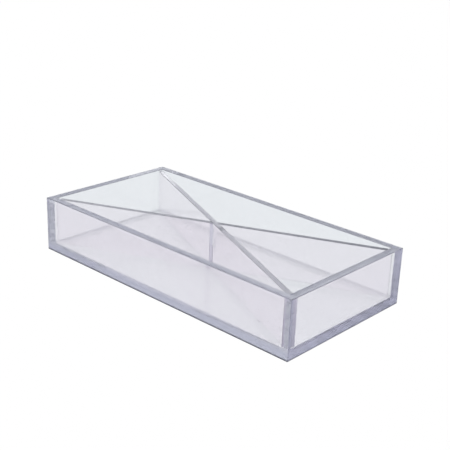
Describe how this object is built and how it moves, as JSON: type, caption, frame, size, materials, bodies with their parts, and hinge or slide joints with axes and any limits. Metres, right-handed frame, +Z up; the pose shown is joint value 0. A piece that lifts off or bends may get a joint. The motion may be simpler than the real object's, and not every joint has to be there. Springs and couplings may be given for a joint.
{
  "type": "drawer organizer insert",
  "caption": "Clear thick-walled rectangular tray with two diagonal dividers crossing in an X to make triangular compartments for small office supplies.",
  "frame": {"origin": "centre of the underside, on the plane that the insert rests on", "axes": "+X along the length to the right, -Y out of the long front face, +Z up out of the open top"},
  "size_m": [0.254, 0.127, 0.0444],
  "materials": {
    "clear_acrylic_sheet": "clear cast acrylic, polished faces and edges",
    "clear_acrylic_strip": "clear cast acrylic, polished faces, machined edges"
  },
  "bodies": {
    "tray": {"base_panel": "clear_acrylic_sheet", "front_wall": "clear_acrylic_sheet", "back_wall": "clear_acrylic_sheet", "left_wall": "clear_acrylic_sheet", "right_wall": "clear_acrylic_sheet"},
    "lower_divider": {"lower_divider": "clear_acrylic_strip"},
    "upper_divider": {"upper_divider": "clear_acrylic_strip"}
  },
  "joints": [
    {"name": "lower_divider_lift", "type": "slide", "parent": "tray", "child": "lower_divider", "axis": [0, 0, 1], "range_m": [0, 0.045]},
    {"name": "upper_divider_lift", "type": "slide", "parent": "lower_divider", "child": "upper_divider", "axis": [0, 0, 1], "range_m": [0, 0.045]}
  ]
}
